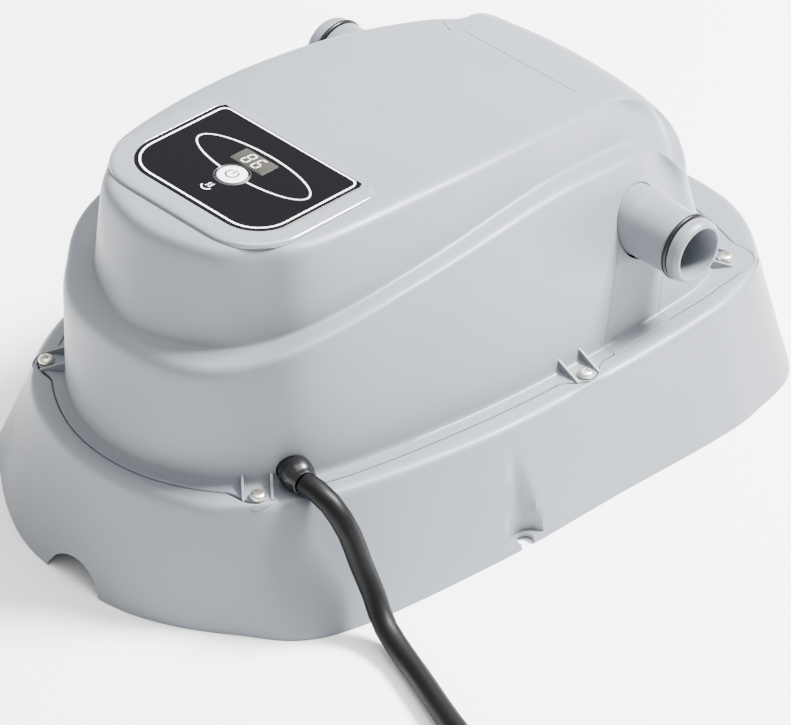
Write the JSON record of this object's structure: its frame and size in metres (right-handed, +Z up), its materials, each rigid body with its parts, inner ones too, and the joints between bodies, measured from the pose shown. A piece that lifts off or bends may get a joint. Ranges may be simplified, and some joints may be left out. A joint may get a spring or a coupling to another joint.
{
  "type": "pool heater",
  "caption": "Free-standing electric heater for a small pool: moulded two-piece housing, control panel on top, hose tails on both sides and a mains lead.",
  "frame": {"origin": "on the ground under the middle of the housing", "axes": "+Z up; the control panel end faces -Y; the two hose tails point along +X and -X"},
  "size_m": [0.4793, 0.5124, 0.179],
  "materials": {
    "housing_grey": "satin",
    "bezel_grey": "gloss",
    "label_black": "gloss",
    "window_smoked": "gloss",
    "button_silver": "satin silver",
    "black_plastic": "satin",
    "black_rubber": "matte",
    "silicone_red": "matte",
    "steel": "brushed",
    "brass": "satin",
    "board_green": "satin",
    "white_plastic": "satin"
  },
  "bodies": {
    "heater": {"base_tray": "black_plastic", "board_post_1": "brass", "board_post_2": "brass", "board_post_3": "brass", "board_post_4": "brass", "cable_gland": "black_rubber", "chamber_bracket_left": "steel", "chamber_bracket_right": "steel", "chamber_seal_left": "silicone_red", "chamber_seal_right": "silicone_red", "console_bezel": "bezel_grey", "console_label": "label_black", "control_board": "board_green", "cord_coil": "black_rubber", "cord_tail": "black_rubber", "digit_module": "black_plastic", "display_board": "board_green", "display_cable": "white_plastic", "display_post_left": "brass", "display_post_right": "brass", "display_window": "window_smoked", "element_bush_left": "brass", "element_bush_right": "brass", "element_lead_left": "silicone_red", "element_lead_right": "silicone_red", "flow_switch": "black_plastic", "fuse_holder": "white_plastic", "heating_chamber": "steel", "heating_element": "steel", "hose_tail_left": "housing_grey", "hose_tail_right": "housing_grey", "housing_gasket": "black_rubber", "housing_screw_1": "steel", "housing_screw_2": "steel", "housing_screw_3": "steel", "housing_screw_4": "steel", "housing_screw_5": "steel", "housing_screw_6": "steel", "key_switch": "black_plastic", "lower_housing": "housing_grey", "mains_cord": "black_rubber", "mains_plug": "black_plastic", "o_ring_left": "black_rubber", "o_ring_right": "black_rubber", "paddle_pin": "steel", "relay_left": "black_plastic", "relay_right": "black_plastic", "supply_tail": "black_rubber", "temperature_probe": "brass", "terminal_block": "white_plastic", "thermal_cutout": "black_plastic", "transformer": "black_plastic", "tray_screw_1": "steel", "tray_screw_2": "steel", "tray_screw_3": "steel", "tray_screw_4": "steel", "upper_housing": "housing_grey"},
    "power_button": {"power_button": "button_silver"},
    "flow_paddle": {"flow_paddle": "black_plastic"}
  },
  "joints": [
    {"name": "power_button_press", "type": "slide", "parent": "heater", "child": "power_button", "axis": [0, -0.035, -0.9994], "range_m": [0, 0.001], "stiffness_N_per_m": 800, "springref_m": -0.0005},
    {"name": "flow_paddle_swing", "type": "hinge", "parent": "heater", "child": "flow_paddle", "pos_m": [0.046, 0.0923, 0.1216], "axis": [0, -1, 0], "range_deg": [0, 25], "stiffness_Nm_per_rad": 0.01, "springref_deg": -8.59}
  ]
}
